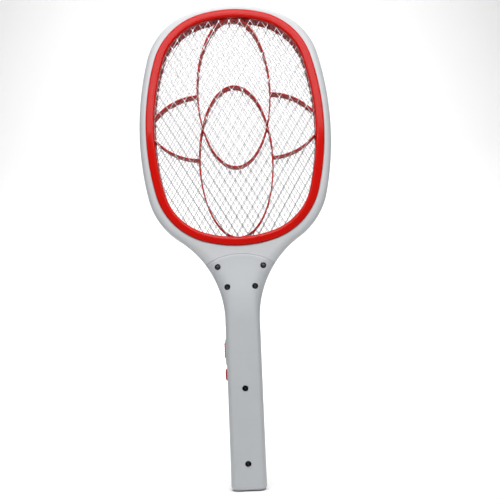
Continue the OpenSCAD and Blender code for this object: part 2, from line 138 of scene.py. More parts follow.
def hoop_chain():
    head = chain(TOTAL_L, HOOP_ARCS)
    at, h = arc_end(head[-1]), head[-1][3]
    radius = (at[0] - GRIP_W / 2) / (1 - math.sin(math.radians(h)))
    return chain(TOTAL_L, HOOP_ARCS + [(-radius, 90 - h)])


def ring_chain():
    most = chain(RING_TOP, RING_ARCS)
    at, h = arc_end(most[-1]), most[-1][3]
    return chain(RING_TOP, RING_ARCS + [(at[0] / math.sin(math.radians(h)), 180 - h)])


HOOP = hoop_chain()
RING = ring_chain()


def arc_points(arc, grow, step):
    """Points along an arc about step mm apart, and the outward directions there."""
    centre, radius, h0, h1 = arc
    n = max(2, math.ceil(abs(math.radians(h1 - h0) * radius) / step))
    dirs = [out(h0 + (h1 - h0) * k / n) for k in range(n + 1)]
    return [centre + (radius + grow) * d for d in dirs], dirs


def ring_station(point):
    """The nearest point of the rings' outline to a point outside it, and the outward direction."""
    x, z = abs(point[0]), point[1]
    for centre, radius, h0, h1 in RING:
        h = math.degrees(math.atan2(x - centre[0], z - centre[1]))
        if h0 - 1e-6 <= h <= h1 + 1e-6:
            break
    side = -1 if point[0] < 0 else 1
    d = out(h)
    return (centre + radius * d) * (side, 1), d * (side, 1)


def ring_loop(step=2.0):
    """Points all round the rings' outline, clockwise from the top, and outward directions."""
    points, dirs = [], []
    for arc in RING:
        p, d = arc_points(arc, 0, step)
        points += p[:-1]
        dirs += d[:-1]
    points.append(arc_end(RING[-1]))
    dirs.append(out(180))
    left = range(len(points) - 2, 0, -1)
    return (np.array(points + [points[k] * (-1, 1) for k in left]),
            np.array(dirs + [dirs[k] * (-1, 1) for k in left]))


def side_distance(x, z):
    """Distance inwards from the outline of hoop, neck and grip, the grip's end left out."""
    x = abs(x)
    best = GRIP_W / 2 - end_inset(z) - x if z < HOOP[-1][0][1] else 1e9
    for centre, radius, h0, h1 in HOOP:
        s = 1 if radius > 0 else -1
        h = math.degrees(math.atan2(s * (x - centre[0]), s * (z - centre[1])))
        if min(h0, h1) - 1e-6 <= h <= max(h0, h1) + 1e-6:
            d = s * (abs(radius) - math.hypot(x - centre[0], z - centre[1]))
            best = min(best, d)
    return best


def end_inset(z):
    """How far the round corners of the grip's end draw the outline in."""
    if z >= END_ROUND:
        return 0.0
    return END_ROUND - math.sqrt(max(0.0, END_ROUND ** 2 - (END_ROUND - z) ** 2))


# ---------------------------------------------------------------- thickness of the moulding
def ease(t):
    t = min(1.0, max(0.0, t))
    return t * t * (3 - 2 * t)


def half_thickness(z):
    return GRIP_T / 2 + (HOOP_T / 2 - GRIP_T / 2) * ease((z - TAPER[0]) / (TAPER[1] - TAPER[0]))


def rounding(z):
    """Width and power of the rounded edge: tight on the grip, broad on the neck and hoop."""
    to_neck = ease((z - 150) / 60)
    to_hoop = ease((z - 225) / 30)
    width = 6.0 + 6.0 * to_neck - 5.0 * to_hoop
    power = 2.8 - 0.4 * to_neck - 0.1 * to_hoop
    return width, power


def crowned(d, z):
    """Height of the outer surface above the middle plane at distance d from the outline."""
    width, power = rounding(z)
    u = min(1.0, max(0.0, d / width))
    t = half_thickness(z)
    lift = t * (1 - (1 - u) ** power) ** (1 / power)
    crown = 0.9 * (1 - ease((z - 205) / 35))
    return lift - crown * (1 - ease(d / (GRIP_W / 2))) * ease(d / 2)


def end_drop(z):
    """How far the fillet at the grip's end lowers the surface."""
    if z >= END_FILLET:
        return 0.0
    return END_FILLET - math.sqrt(max(0.0, END_FILLET ** 2 - (END_FILLET - z) ** 2))


# ---------------------------------------------------------------- mesh helpers
def mesh_object(name, verts, faces, merge=1e-4):
    """A mesh from points in millimetres, doubles merged and normals outward."""
    mesh = bpy.data.meshes.new(name)
    mesh.from_pydata([tuple(float(c) * MM for c in v) for v in verts], [], faces)
    bm = bmesh.new()
    bm.from_mesh(mesh)
    bmesh.ops.remove_doubles(bm, verts=bm.verts, dist=merge * MM * 10)
    bmesh.ops.dissolve_degenerate(bm, edges=bm.edges, dist=1e-8)
    bmesh.ops.recalc_face_normals(bm, faces=bm.faces)
    bm.to_mesh(mesh)
    bm.free()
    obj = bpy.data.objects.new(name, mesh)
    bpy.context.scene.collection.objects.link(obj)
    return obj


class Sheet:
    """Collects grids and strips of points into one list of vertices and faces."""

    def __init__(self):
        self.verts, self.faces = [], []

    def grid(self, rows, closed=False):
        """rows of equal length; neighbouring rows are joined, and each row's ends too if closed."""
        base, n = len(self.verts), len(rows[0])
        for row in rows:
            self.verts += list(row)
        for j in range(len(rows) - 1):
            for i in range(n if closed else n - 1):
                a, b = base + j * n + i, base + j * n + (i + 1) % n
                self.faces.append((a, b, b + n, a + n))

    def object(self, name):
        return mesh_object(name, self.verts, self.faces)


def smooth(obj, degrees=35):
    obj.data.shade_smooth()
    obj.data.set_sharp_from_angle(angle=math.radians(degrees))
    return obj


def finished(obj):
    """The object with its modifiers applied."""
    graph = bpy.context.evaluated_depsgraph_get()
    mesh = bpy.data.meshes.new_from_object(obj.evaluated_get(graph))
    obj.modifiers.clear()
    old = obj.data
    obj.data = mesh
    bpy.data.meshes.remove(old)
    return obj


def carve(obj, tool, operation="DIFFERENCE"):
    """Cuts or adds the tool object, and removes it."""
    mod = obj.modifiers.new(operation, "BOOLEAN")
    mod.operation, mod.solver, mod.object = operation, "EXACT", tool
    finished(obj)
    bpy.data.objects.remove(tool)
    return obj


def lathe(sheet, centre, axis, profile, sides=48, squash=1.0):
    """A closed solid turned about an axis through centre. profile is [(radius, height), ...] from
    pole to pole. axis is "x", "y" or "z"; a negative height goes the other way."""
    rows = []
    for r, h in profile:
        row = []
        for k in range(sides):
            a = 2 * math.pi * k / sides
            u, v = r * math.cos(a), r * math.sin(a) * squash
            p = {"x": (h, u, v), "y": (u, h, v), "z": (u, v, h)}[axis]
            row.append(np.array(centre) + p)
        rows.append(row)
    sheet.grid(rows, closed=True)


def block(sheet, low, high):
    """A plain box, for cutting with."""
    x0, y0, z0 = low
    x1, y1, z1 = high
    ring = [(x0, y0), (x1, y0), (x1, y1), (x0, y1)]
    mid = ((x0 + x1) / 2, (y0 + y1) / 2)
    rows = [[(*mid, z0)] * 4, [(*p, z0) for p in ring], [(*p, z1) for p in ring], [(*mid, z1)] * 4]
    sheet.grid(rows, closed=True)


def obround_rows(half_y, z0, z1, xs, grow=None, steps=10):
    """Rows of points round an upright slot shape at each x, each row grown by its own amount."""
    rows = []
    for x, g in zip(xs, grow or [0] * len(xs)):
        r = max(half_y + g, 0.001)
        row = []
        for mid, start in ((z1 - half_y, 0), (z0 + half_y, 180)):
            for k in range(steps + 1):
                a = math.radians(start + 180 * k / steps)
                row.append((x, r * math.cos(a), mid + r * math.sin(a)))
        rows.append(row)
    return rows


# ---------------------------------------------------------------- materials
def material(name, base, rough, metal=0.0, coat=0.0, specular=0.5, grain=600.0, grain_depth=0.02,
             mottle=0.06):
    """A finish with fine grain in its surface and a slight unevenness in its gloss and tone."""
    mat = bpy.data.materials.new(name)
    mat.use_nodes = True
    tree = mat.node_tree
    shader = tree.nodes["Principled BSDF"]
    coords = tree.nodes.new("ShaderNodeTexCoord")
    cloud = tree.nodes.new("ShaderNodeTexNoise")
    cloud.inputs["Scale"].default_value = 45
    cloud.inputs["Detail"].default_value = 4
    tree.links.new(coords.outputs["Object"], cloud.inputs["Vector"])

    tone = tree.nodes.new("ShaderNodeValToRGB")
    low, high = tone.color_ramp.elements
    low.position, high.position = 0.3, 0.7
    low.color = (*[c * (1 - mottle) for c in base], 1)
    high.color = (*[min(1.0, c * (1 + mottle)) for c in base], 1)
    tree.links.new(cloud.outputs["Fac"], tone.inputs["Fac"])
    tree.links.new(tone.outputs["Color"], shader.inputs["Base Color"])

    gloss = tree.nodes.new("ShaderNodeMapRange")
    gloss.inputs["To Min"].default_value = rough * 0.85
    gloss.inputs["To Max"].default_value = min(1.0, rough * 1.15)
    tree.links.new(cloud.outputs["Fac"], gloss.inputs["Value"])
    tree.links.new(gloss.outputs["Result"], shader.inputs["Roughness"])

    fine = tree.nodes.new("ShaderNodeTexNoise")
    fine.inputs["Scale"].default_value = grain
    fine.inputs["Detail"].default_value = 2
    bump = tree.nodes.new("ShaderNodeBump")
    bump.inputs["Strength"].default_value = grain_depth
    bump.inputs["Distance"].default_value = 0.0005
    tree.links.new(coords.outputs["Object"], fine.inputs["Vector"])
    tree.links.new(fine.outputs["Fac"], bump.inputs["Height"])
    tree.links.new(bump.outputs["Normal"], shader.inputs["Normal"])

    shader.inputs["Metallic"].default_value = metal
    shader.inputs["Coat Weight"].default_value = coat
    shader.inputs["Coat Roughness"].default_value = 0.08
    shader.inputs["Specular IOR Level"].default_value = specular
    return mat


# Each finish: its colour, its roughness and what else sets it apart
LOOKS = {
    "shell_grey": ((0.43, 0.44, 0.455), 0.42, dict(grain=900, grain_depth=0.03, mottle=0.015)),
    # The rear cover's grey is the shell's grey painted darker: painted shade on the neck and grip,
    # which get less light than the hoop
    "cover_grey": ((0.375, 0.39, 0.405), 0.45, dict(grain=900, grain_depth=0.04, mottle=0.015)),
    "ring_red": ((0.44, 0.005, 0.003), 0.08,
                 dict(specular=0.1, grain=300, grain_depth=0.01, mottle=0.03)),
    # The rib frames' red is the rings' red painted darker: painted shade for the band's inner wall,
    # which lies in shadow under the ring
    "rib_red": ((0.34, 0.005, 0.004), 0.5,
                dict(specular=0.12, grain=500, grain_depth=0.02, mottle=0.04)),
    "control_red": ((0.36, 0.006, 0.015), 0.45, dict(coat=0.2, grain=600, grain_depth=0.02)),
    # One metal for all three nets, in two copies: painted darker as shade on the rear net's strands,
    # painted lighter as light on the centre and front nets' strands
    "net_metal": ((0.24, 0.24, 0.25), 0.33, dict(metal=1, grain=900, grain_depth=0.15, mottle=0.12)),
    "net_bright": ((0.46, 0.46, 0.47), 0.45, dict(metal=1, grain=900, grain_depth=0.1)),
    "screw_steel": ((0.05, 0.052, 0.056), 0.35, dict(metal=0.8, grain=1500, grain_depth=0.1)),
    "spring_steel": ((0.6, 0.6, 0.62), 0.25, dict(metal=1, grain=1200, grain_depth=0.08)),
    "switch_metal": ((0.55, 0.55, 0.56), 0.35, dict(metal=1, grain=1000, grain_depth=0.1)),
    "board_green": ((0.02, 0.16, 0.06), 0.3, dict(coat=0.3, grain=700, grain_depth=0.05)),
    "ferrite": ((0.035, 0.035, 0.038), 0.6, dict(grain=1500, grain_depth=0.2)),
    "black_plastic": ((0.02, 0.02, 0.022), 0.45, dict(grain=1200, grain_depth=0.1)),
    "copper_wire": ((0.65, 0.25, 0.08), 0.3, dict(metal=1, grain=1800, grain_depth=0.25)),
    "capacitor_brown": ((0.28, 0.05, 0.02), 0.25, dict(coat=0.4, grain=500, grain_depth=0.05)),
    "capacitor_orange": ((0.5, 0.14, 0.02), 0.25, dict(coat=0.4, grain=500, grain_depth=0.05)),
    "capacitor_blue": ((0.03, 0.09, 0.32), 0.3, dict(coat=0.3, grain=500, grain_depth=0.05)),
    "resistor_tan": ((0.55, 0.42, 0.24), 0.45, dict(grain=900, grain_depth=0.05)),
    "lamp_red": ((0.6, 0.02, 0.01), 0.12, dict(coat=0.6, grain=300, grain_depth=0.01)),
    "cell_green": ((0.02, 0.2, 0.09), 0.35, dict(coat=0.2, grain=400, grain_depth=0.03)),
    "lead_plastic": ((0.35, 0.02, 0.02), 0.4, dict(grain=900, grain_depth=0.05)),
    "brass_plated": ((0.75, 0.68, 0.5), 0.25, dict(metal=1, grain=1200, grain_depth=0.05)),
}
FINISH = {name: material(name, base, rough, **more) for name, (base, rough, more) in LOOKS.items()}


def paint(obj, name, body=None):
    """Gives the object a finish; a piece of the looks also gets its body."""
    obj.data.materials.clear()
    obj.data.materials.append(FINISH[name])
    if body:
        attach(obj, body)
    return obj


# ---------------------------------------------------------------- body shell and rear cover
ARCH_C = np.array([0.0, ARCH_TOP - ARCH_R])


def arch_z(x, inset=0.0):
    r = ARCH_R - inset
    return ARCH_C[1] + math.sqrt(max(0.0, r * r - x * x))


def half_width(z, inset=0.0):
    """Half the width of neck and grip at height z, at a distance inside their outline."""
    centre, radius, _, _ = HOOP[-1]
    if z <= centre[1]:
        return GRIP_W / 2 - end_inset(z) - inset
    r = abs(radius) + inset
    return centre[0] - math.sqrt(r * r - (z - centre[1]) ** 2)


def arch_meets(inset=0.0):
    """Height where the arched edge, drawn in by inset, meets the outline drawn in by inset."""
    low, high = 180.0, ARCH_TOP
    for _ in range(60):
        mid = (low + high) / 2
        w = half_width(mid, inset)
        inside = math.hypot(w, mid - ARCH_C[1]) < ARCH_R - inset
        low, high = (mid, high) if inside else (low, mid)
    return low


EDGE_STEPS = 10
EDGE = [1 - math.cos(math.pi / 2 * k / EDGE_STEPS) ** 0.8 for k in range(EDGE_STEPS + 1)]
FLAT_STEPS = 7


def across(w, width):
    """Positions from -w to w, close together in the rounded edges."""
    width = min(width, 0.8 * w)
    half = [(w - width) * k / FLAT_STEPS for k in range(FLAT_STEPS)]
    half += [w - width * e for e in EDGE[::-1]]
    return [-x for x in half[:0:-1]] + half


def grip_rows(side, top_inset, inset, wall, seam):
    """Rows of points over one face of neck and grip, from the arched edge down to the end. inset
    draws in the outline, wall thins the depth, and seam is left free at the middle plane."""
    s0 = arch_meets(max(top_inset, inset))
    w0 = half_width(s0, inset)
    bottom = inset
    levels = [s0, s0 - 0.35]
    levels += list(np.linspace(s0 - 2.2, 170, 26))
    levels += list(np.linspace(167, bottom + 4, 66))
    levels += [bottom + 3.2 * math.cos(math.radians(a)) ** 2 for a in (0, 20, 40, 55, 68, 78, 85)]
    levels.append(bottom)
    rows = []
    for s in levels:
        width, _ = rounding(s)
        xs = across(half_width(s, inset), max(width - inset, 2.0))
        fade = ease((s - 178) / (s0 - 178))
        row = []
        for x in xs:
            z = s + fade * (arch_z(min(1.0, max(-1.0, x / xs[-1])) * w0, top_inset) - s0)
            d = side_distance(x, z) - inset
            if abs(x) == abs(xs[-1]):
                d = 0
            y = crowned(max(d, 0), z) * (1 - wall / half_thickness(z))
            y -= 0 if wall else end_drop(z)
            row.append((x, side * max(y, seam), z))
        rows.append(row)
    rows.append([(x, side * seam, bottom) for x, _, _ in rows[-1]])
    return rows


def edge_rolled(rows, depth):
    """Lowers a rear face's first row a little, so that the edge there is rounded."""
    rows[0] = [(x, -max(abs(y) - depth, SEAM), z) for x, y, z in rows[0]]
    return rows


def boundary_stations():
    """Points round the head's right half: along the arched edge from its middle, then up the
    outline to the top. Also how many of them are on the arched edge."""
    s0 = arch_meets()
    w0 = half_width(s0)
    width, _ = rounding(s0)
    xs = [x for x in across(w0, width) if x >= -1e-9]
    points = [np.array([x, arch_z(x)]) for x in xs]
    on_arch = len(points)
    centre, radius, h0, _ = HOOP[-1]
    h_meet = math.degrees(math.atan2(centre[0] - w0, centre[1] - s0))
    neck = (centre, radius, h0, h_meet)
    for arc in [neck] + HOOP[-2::-1]:
        p, _ = arc_points(arc, 0, 2.2)
        points += p[-2::-1]
    return points, on_arch


def head_strip(side):
    """Rows over one face of the head, from the boundary in to the ring pocket. Each station gives
    one row, right half first."""
    points, on_arch = boundary_stations()
    rows = []
    for k, p in enumerate(points):
        q, d_out = ring_station(p)
        q = q + d_out * POCKET_GAP
        length = float(np.hypot(*(q - p)))
        width = min(rounding(p[1])[0], length * 0.85)
        steps = [width * e for e in EDGE] + list(np.linspace(width, length - 0.4, 6)[1:]) + [length]
        row = []
        for j, s in enumerate(steps):
            x, z = p + (q - p) * s / length
            d = 0 if (j == 0 and k >= on_arch - 1) else max(0, side_distance(x, z))
            y = crowned(d, z)
            if j == len(steps) - 1:
                y -= POCKET_EDGE_DROP
            if j == 0 and k < on_arch - 1 and side < 0:
                y = max(y - SHELL_ROLL, 0)
            row.append((x, side * y, z))
        rows.append(row)
    return rows, on_arch


def mirror(row):
    return [(-x, y, z) for x, y, z in row]


def full_loop(rows):
    """The right half's rows, then the left half's, all the way round."""
    return rows + [mirror(r) for r in rows[-2:0:-1]]


def pocket_rows(side, edge_row):
    """From the pocket's edge down to the ledge, in along it, and to the middle plane."""
    result = [edge_row]
    for grow, y in ((POCKET_GAP, POCKET_Y), (-LEDGE_W, POCKET_Y), (-LEDGE_W, 0.0)):
        row = []
        for x, _, z in edge_row:
            q, d = ring_station((x, z))
            p = q + d * grow
            row.append((p[0], side * y, p[1]))
        result.append(row)
    return result


def make_shell():
    """The hoop with its pocket for the rings, and the front half of neck and grip."""
    sheet = Sheet()
    for side in (-1, 1):
        half, on_arch = head_strip(side)
        loop = full_loop(half)
        sheet.grid([list(r) for r in zip(*loop)], closed=True)
        sheet.grid(pocket_rows(side, [r[-1] for r in loop]), closed=True)
        if side < 0:
            arch = [mirror([r[0]])[0] for r in half[on_arch - 1:0:-1]] + [r[0] for r in half[:on_arch]]
    outer = grip_rows(1, 0, 0, 0, 0)
    inner = grip_rows(1, WALL, WALL, WALL, 0)
    sheet.grid(outer)
    lip = [(x, 0, z) for x, _, z in inner[0]]
    sheet.grid([lip] + inner)
    floor_row = [(x, 0, z) for x, _, z in arch]
    sheet.grid([arch, floor_row, lip])
    for i in (0, -1):
        sheet.grid([[r[i] for r in outer], [r[i] for r in inner]])
    sheet.grid([outer[-1], inner[-1]])
    return sheet.object("body_moulding")


def make_cover():
    """The rear half of neck and grip."""
    sheet = Sheet()
    outer = edge_rolled(grip_rows(-1, ARCH_GAP, 0, 0, SEAM), COVER_ROLL)
    inner = grip_rows(-1, WALL, WALL, WALL, SEAM)
    lip = [(x, -SEAM, z) for x, _, z in inner[0]]
    rim = [(x, -SEAM, z) for x, _, z in outer[0]]
    sheet.grid(outer)
    sheet.grid([lip] + inner)
    sheet.grid([outer[0], rim, lip])
    for i in (0, -1):
        sheet.grid([[r[i] for r in outer], [r[i] for r in inner]])
    sheet.grid([outer[-1], inner[-1]])
    return sheet.object("cover_moulding")


def surface_y(x, z):
    return crowned(max(0.0, side_distance(x, z)), z)


def cylinder_set(name, places, profile_of, axis="y", sides=40):
    """One object with a turned solid at each place; profile_of gives its profile there."""
    sheet = Sheet()
    for place in places:
        lathe(sheet, (place[0], 0, place[1]), axis, profile_of(*place), sides)
    return sheet.object(name)


def seat_post(x, z):
    """The cover's post that a screw's head pulls on."""
    top = -surface_y(x, z) + 1.0
    return [(0, top), (POST_R, top), (POST_R, JOIN_Y), (0, JOIN_Y)]


def recess_cut(x, z):
    """A screw's recess with a softened mouth, and the clearance hole at its bottom."""
    y = -surface_y(x, z)
    r = RECESS_R
    mouth = [(0, y - 3), (r + 0.5, y - 3), (r + 0.45, y - 0.1), (r + 0.12, y + 0.25), (r, y + 0.7)]
    return mouth + [(r, SEAT_Y), (HOLE_R, SEAT_Y), (HOLE_R, 3), (0, 3)]


def boss_post(x, z):
    """The shell's boss that a screw bites into, just short of the cover's post."""
    top = surface_y(x, z) - 1.0
    low = JOIN_Y + 0.02
    return [(0, low), (BOSS_R - 0.3, low), (BOSS_R, low + 0.38), (BOSS_R, top), (0, top)]


def pilot_hole(*_):
    return [(0, -20), (PILOT_R, -20), (PILOT_R, 6), (0, 6)]


KNOB_Y = 3.8
BUTTON_Y = 4.0
KNOB_PROUD, BUTTON_PROUD = 2.0, 1.8
KNOB_Z = (128.0, 145.0)
BUTTON_Z = (106.2, 118.2)
BUTTON_MID = (BUTTON_Z[0] + BUTTON_Z[1]) / 2
FLANGE_Y, FLANGE_T = 5.4, 1.2
SPRING_END = -10.3
SLOT_Z = (KNOB_Z[0] - 4.3, KNOB_Z[1] + 0.3)
PLATE_Y, PLATE_T, PLATE_Z = 6.0, 0.8, (SLOT_Z[0] - 0.8, KNOB_Z[1] + 5.1)
TONGUE_Z = (134, 138)
BEZEL = (0.8, 5.8, SLOT_Z[0] - 3.0, KNOB_Z[1] + 3.5)
FIT = 0.3
BLADE_X, BLADE_SLOT = 6.35, (1.05, 3.475)
THUMB_SLOT = (-3.3, 2, 30.7), (3.3, 20, 52.3)
LAMP_Z, LAMP_HOLE_R = 165, 1.6


def bezel_block(side):
    """Half of the raised rim round the knob's slot, its edges run out on all sides."""
    proud, half_y, z0, z1 = BEZEL
    x0 = -GRIP_W / 2
    rows = []
    n = 40
    for k in range(n + 1):
        z = z0 + (z1 - z0) * k / n
        along = ease(min(z - z0, z1 - z) / 2.2)
        row = []
        for inward, up in ((half_y, 1), (1.6, 1), (0.9, 0.85), (0.3, 0.4), (0, 0)):
            y = half_y - inward
            row.append((x0 - proud * along * up + (0 if up else 0.05), side * y, z))
        row += [(x0 + 1.2, side * half_y, z), (x0 + 1.2, 0, z)]
        rows.append(row)
    sheet = Sheet()
    mid = [tuple(np.mean(rows[0], 0))] * 7
    end = [tuple(np.mean(rows[-1], 0))] * 7
    sheet.grid([mid] + rows + [end], closed=True)
    return sheet.object("bezel")


def opening_cutters():
    """The slot for the knob, the button's opening, and the slots for the plug's blades."""
    sheet = Sheet()
    outer, inner = -GRIP_W / 2 - 3, -GRIP_W / 2 + WALL + 1.5
    block(sheet, (outer, -KNOB_Y - FIT, SLOT_Z[0]), (inner, KNOB_Y + FIT, SLOT_Z[1]))
    closing = -BUTTON_Y - FIT
    sheet.grid(obround_rows(BUTTON_Y + FIT, BUTTON_Z[0] - FIT, BUTTON_Z[1] + FIT,
                            (outer, outer, inner, inner), (closing, 0, 0, closing)), closed=True)
    wide, deep = BLADE_SLOT
    for x in (-BLADE_X, BLADE_X):
        block(sheet, (x - wide, -deep, -1), (x + wide, deep, WALL + 1))
    return sheet.object("openings")


def finish_shell():
    shell = make_shell()
    carve(shell, bezel_block(1), "UNION")
    carve(shell, cylinder_set("bosses", SCREWS, boss_post), "UNION")
    carve(shell, cylinder_set("pilot_holes", SCREWS, pilot_hole, sides=24))
    carve(shell, opening_cutters())
    front = Sheet()
    block(front, *THUMB_SLOT)
    lathe(front, (0, 0, LAMP_Z), "y", [(0, 8), (LAMP_HOLE_R, 8), (LAMP_HOLE_R, 18), (0, 18)], 32)
    carve(shell, front.object("front_openings"))
    smooth(shell, 40)
    paint(shell, "shell_grey", RACKET)
    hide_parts("body_shell")


def finish_cover():
    cover = make_cover()
    carve(cover, bezel_block(-1), "UNION")
    carve(cover, cylinder_set("posts", SCREWS, seat_post), "UNION")
    carve(cover, cylinder_set("recesses", SCREWS, recess_cut, sides=64))
    carve(cover, opening_cutters())
    smooth(cover, 40)
    # The cover takes the grey painted darker as shade
    paint(cover, "cover_grey", RACKET)
    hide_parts("rear_cover")


finish_shell()
finish_cover()


# ---------------------------------------------------------------- clamping rings
def swept(name, section, step=2.0):
    """A closed ring. section is [(distance in from the rings' outline, depth), ...] in order."""
    points, dirs = ring_loop(step)
    sheet = Sheet()
    rows = []
    for inward, depth in section:
        rows.append([(x, depth, z) for x, z in points - dirs * inward])
    sheet.grid(rows + [rows[0]], closed=True)
    return sheet.object(name)


def ring_section(side):
    """A band with rounded edges and a slightly crowned face."""
    r_out, r_in, crown = 1.5, 1.9, 0.25
    face = RING_FACE - crown
    pts = [(0.0, RING_SEAT)]
    for k in range(7):
        a = math.radians(15 * k)
        pts.append((r_out * (1 - math.cos(a)), face - r_out * (1 - math.sin(a))))
    for k in range(1, 10):
        t = k / 10
        pts.append((r_out + (RING_W - r_out - r_in) * t, face + crown * math.sin(math.pi * t)))
    for k in range(7):
        a = math.radians(90 - 15 * k)
        pts.append((RING_W - r_in * (1 - math.cos(a)), face - r_in * (1 - math.sin(a))))
    pts.append((RING_W, RING_SEAT))
    return [(d, side * y) for d, y in pts]


for node, side in (("rear_ring", -1), ("front_ring", 1)):
    ring = swept("clamping_" + node, ring_section(side))
    smooth(ring, 50)
    paint(ring, "ring_red", RACKET)
    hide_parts(node)


# ---------------------------------------------------------------- rib frames
FRAME_IN, FRAME_OUT = 0.3, 7.0
BAND = (3.3, 8.3)
IN_BAND = 5.5
PETAL_FROM = 1.6


def rounded_bar(half_w, y0, y1, r=0.3):
    """Corner points of a bar's cross-section: across and depth."""
    pts = []
    for sx, sy, a0 in ((1, 1, 0), (-1, 1, 90), (-1, -1, 180), (1, -1, 270)):
        for k in range(4):
            a = math.radians(a0 + 30 * k)
            y = y1 if sy > 0 else y0
            pts.append((sx * (half_w - r) + r * math.cos(a), y - sy * r + r * math.sin(a)))
    return pts


def bar_along(sheet, path, half_w, y0, y1, closed):
    """A flat bar standing on edge along a path in the plane of the head."""
    path = np.array(path, float)
    if closed:
        tangent = np.roll(path, -1, 0) - np.roll(path, 1, 0)
    else:
        tangent = np.gradient(path, axis=0)
    tangent /= np.linalg.norm(tangent, axis=1)[:, None]
    normal = np.stack([tangent[:, 1], -tangent[:, 0]], 1)
    rows = []
    for p, n in zip(path, normal):
        rows.append([(p[0] + n[0] * u, v, p[1] + n[1] * u) for u, v in rounded_bar(half_w, y0, y1)])
    if closed:
        sheet.grid(rows + [rows[0]], closed=True)
    else:
        ends = [[tuple(np.mean(rows[i], 0))] * len(rows[i]) for i in (0, -1)]
        sheet.grid([ends[0]] + rows + [ends[1]], closed=True)


def ring_depth(x, z):
    """How deep a point lies inside the rings' outline."""
    best = 1e9
    for centre, radius, h0, h1 in RING:
        h = math.degrees(math.atan2(abs(x) - centre[0], z - centre[1]))
        if h0 - 1e-6 <= h <= h1 + 1e-6:
            best = min(best, radius - math.hypot(abs(x) - centre[0], z - centre[1]))
    return best


def petal_path(s, m):
    """From the side of an oval outwards until it's inside the band."""
    cx, cz = m * (OVAL_A - 2), RING_MID + s * (PETAL_TOP - PETAL_R)
    path = []
    for a in np.arange(PETAL_FROM, 85, 1.2):
        x = cx + m * PETAL_R * math.sin(math.radians(a))
        z = cz + s * PETAL_R * math.cos(math.radians(a))
        path.append((x, z))
        if ring_depth(x, z) < IN_BAND:
            break
    return path


def rib_frame(node, side):
    y0, y1 = (FRAME_IN, FRAME_OUT) if side > 0 else (-FRAME_OUT, -FRAME_IN)
    points, dirs = ring_loop(2.0)
    middle = (BAND[0] + BAND[1]) / 2
    sheet = Sheet()
    bar_along(sheet, points - dirs * middle, (BAND[1] - BAND[0]) / 2, y0, y1, True)
    turn = np.linspace(0, 2 * math.pi, 180, endpoint=False)
    for s in (-1, 1):
        centre = RING_MID + s * OVAL_SHIFT / 2
        oval = np.stack([OVAL_A * np.sin(turn), centre + OVAL_B * np.cos(turn)], 1)
        bar_along(sheet, oval, RIB_W / 2, y0, y1, True)
        for m in (-1, 1):
            bar_along(sheet, petal_path(s, m), RIB_W / 2, y0 + 0.02, y1 - 0.02, False)
    frame_obj = sheet.object("ribs_" + node)
    smooth(frame_obj, 40)
    # The ribs take the red painted darker as shade
    paint(frame_obj, "rib_red", RACKET)
    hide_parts(node)


rib_frame("rear_rib_frame", -1)
rib_frame("front_rib_frame", 1)


# ---------------------------------------------------------------- nets
def near_head(x, z):
    """Whether a point is in the rings' box, which a test of depth alone doesn't tell."""
    half_x, half_z = 91.5, 124
    within = abs(x) < half_x and abs(z - RING_MID) < half_z
    return within and math.hypot(x / 130, (z - RING_MID) / 160) < 1


def clipped(a, b, edge):
    """The part of a strand from a to b that lies deeper than edge inside the rings' outline."""
    def inside(t):
        p = a + (b - a) * t
        return near_head(p[0], p[1]) and ring_depth(p[0], p[1]) > edge

    ends = inside(0), inside(1)
    if not any(ends):
        return None
    if all(ends):
        return a, b
    low, high = (0.0, 1.0) if ends[0] else (1.0, 0.0)
    for _ in range(30):
        mid = (low + high) / 2
        low, high = (mid, high) if inside(mid) else (low, mid)
    cut = a + (b - a) * low
    return (a, cut) if ends[0] else (cut, b)


# How far, in radians, the strands of the rising and the falling slope are rolled about their own
# length besides the net's own tilt, and how far that varies. Then the net's reach in half diamonds,
# the shortest piece of strand kept, in millimetres, and how far inside the rings' outline nets end.
LEANS = {True: -0.1, False: 0.6}
WOBBLE = 0.12
NET_SPAN = 28
SHORTEST = 0.8
OUTER_EDGE, CENTRE_EDGE = 6.3, 4.0


def net_points(shift, edge):
    """The middle of each strand and the knots between them: (x, z), turn, length and lean, which
    differs in sign between the strands of the two slopes and is 0 for a knot."""
    px, pz = DIAMOND[0] / 2, DIAMOND[1] / 2
    result = []
    for i in range(-NET_SPAN, NET_SPAN):
        for j in range(-NET_SPAN, NET_SPAN):
            x, z = shift + i * px, RING_MID + j * pz
            rising = (i + j) % 2 == 0
            if rising:
                a, b = np.array([x, z]), np.array([x + px, z + pz])
                if ring_depth(x, z) > edge + 1.2 and near_head(x, z):
                    result.append(((x, z), -math.pi / 2, 1.0, 0))
            else:
                a, b = np.array([x + px, z]), np.array([x, z + pz])
            part = clipped(a, b, edge)
            if part is None:
                continue
            length = float(np.hypot(*(part[1] - part[0])))
            if length < SHORTEST:
                continue
            mid, run = (part[0] + part[1]) / 2, part[1] - part[0]
            if run[1] < 0:
                run = -run
            result.append((tuple(mid), math.atan2(-run[1], run[0]), length, LEANS[rising]))
    return result


def strand_mesh(name, rings):
    """A bar along X. rings is [(place along it, half width, half thickness), ...]."""
    sides = 8
    sheet = Sheet()
    rows = []
    for x, w, t in rings:
        row = []
        for k in range(sides):
            a = 2 * math.pi * (k + 0.5) / sides
            u = w * math.copysign(abs(math.cos(a)) ** 0.6, math.cos(a))
            v = t * math.copysign(abs(math.sin(a)) ** 0.6, math.sin(a))
            row.append((x, v, u))
        rows.append(row)
    ends = [[(rows[i][0][0], 0, 0)] * sides for i in (0, -1)]
    sheet.grid([ends[0]] + rows + [ends[1]], closed=True)
    obj = sheet.object(name)
    obj.hide_render = True
    return obj


